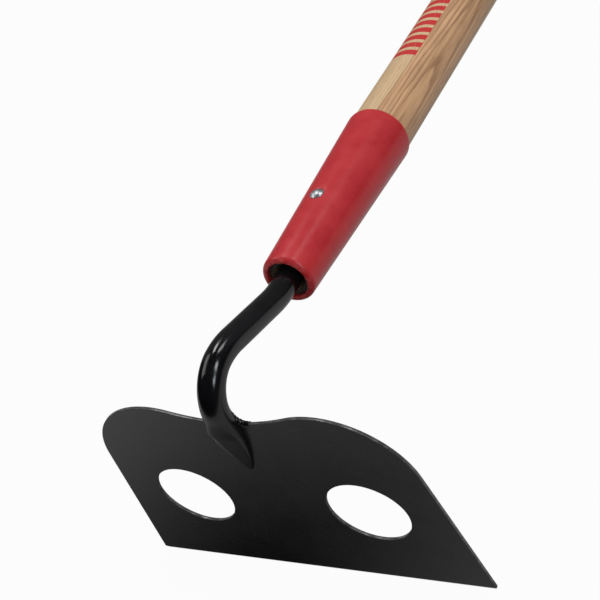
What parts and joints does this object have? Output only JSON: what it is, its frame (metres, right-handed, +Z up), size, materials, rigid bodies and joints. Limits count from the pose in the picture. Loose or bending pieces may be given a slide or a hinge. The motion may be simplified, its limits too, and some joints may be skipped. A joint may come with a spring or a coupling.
{
  "type": "mortar mixing hoe",
  "caption": "Long-handled mixing hoe: a flat steel blade with round flow holes, welded to a gooseneck whose tang is riveted into a wooden handle under a conical ferrule.",
  "frame": {"origin": "middle of the blade's cutting edge, on the blade's inner face, at ground level", "axes": "+X along the cutting edge, +Y from the blade towards the butt of the handle, +Z up; the blade stands upright and the butt of the handle touches the ground"},
  "size_m": [0.2342, 1.4793, 0.1778],
  "materials": {
    "blade_paint": "satin black paint on sheet steel",
    "gooseneck_paint": "gloss black paint on forged steel",
    "weld_paint": "gloss black paint over a rippled weld bead",
    "ferrule_paint": "satin red enamel on steel",
    "handle_wood": "satin clear lacquer on ash",
    "rivet_zinc": "bright zinc plating"
  },
  "bodies": {
    "root": {"blade": "blade_paint", "gooseneck": "gooseneck_paint", "weld_bead_left": "weld_paint", "weld_bead_right": "weld_paint", "weld_bead_rear": "weld_paint", "ferrule": "ferrule_paint", "handle": "handle_wood", "rivet": "rivet_zinc"}
  },
  "joints": []
}
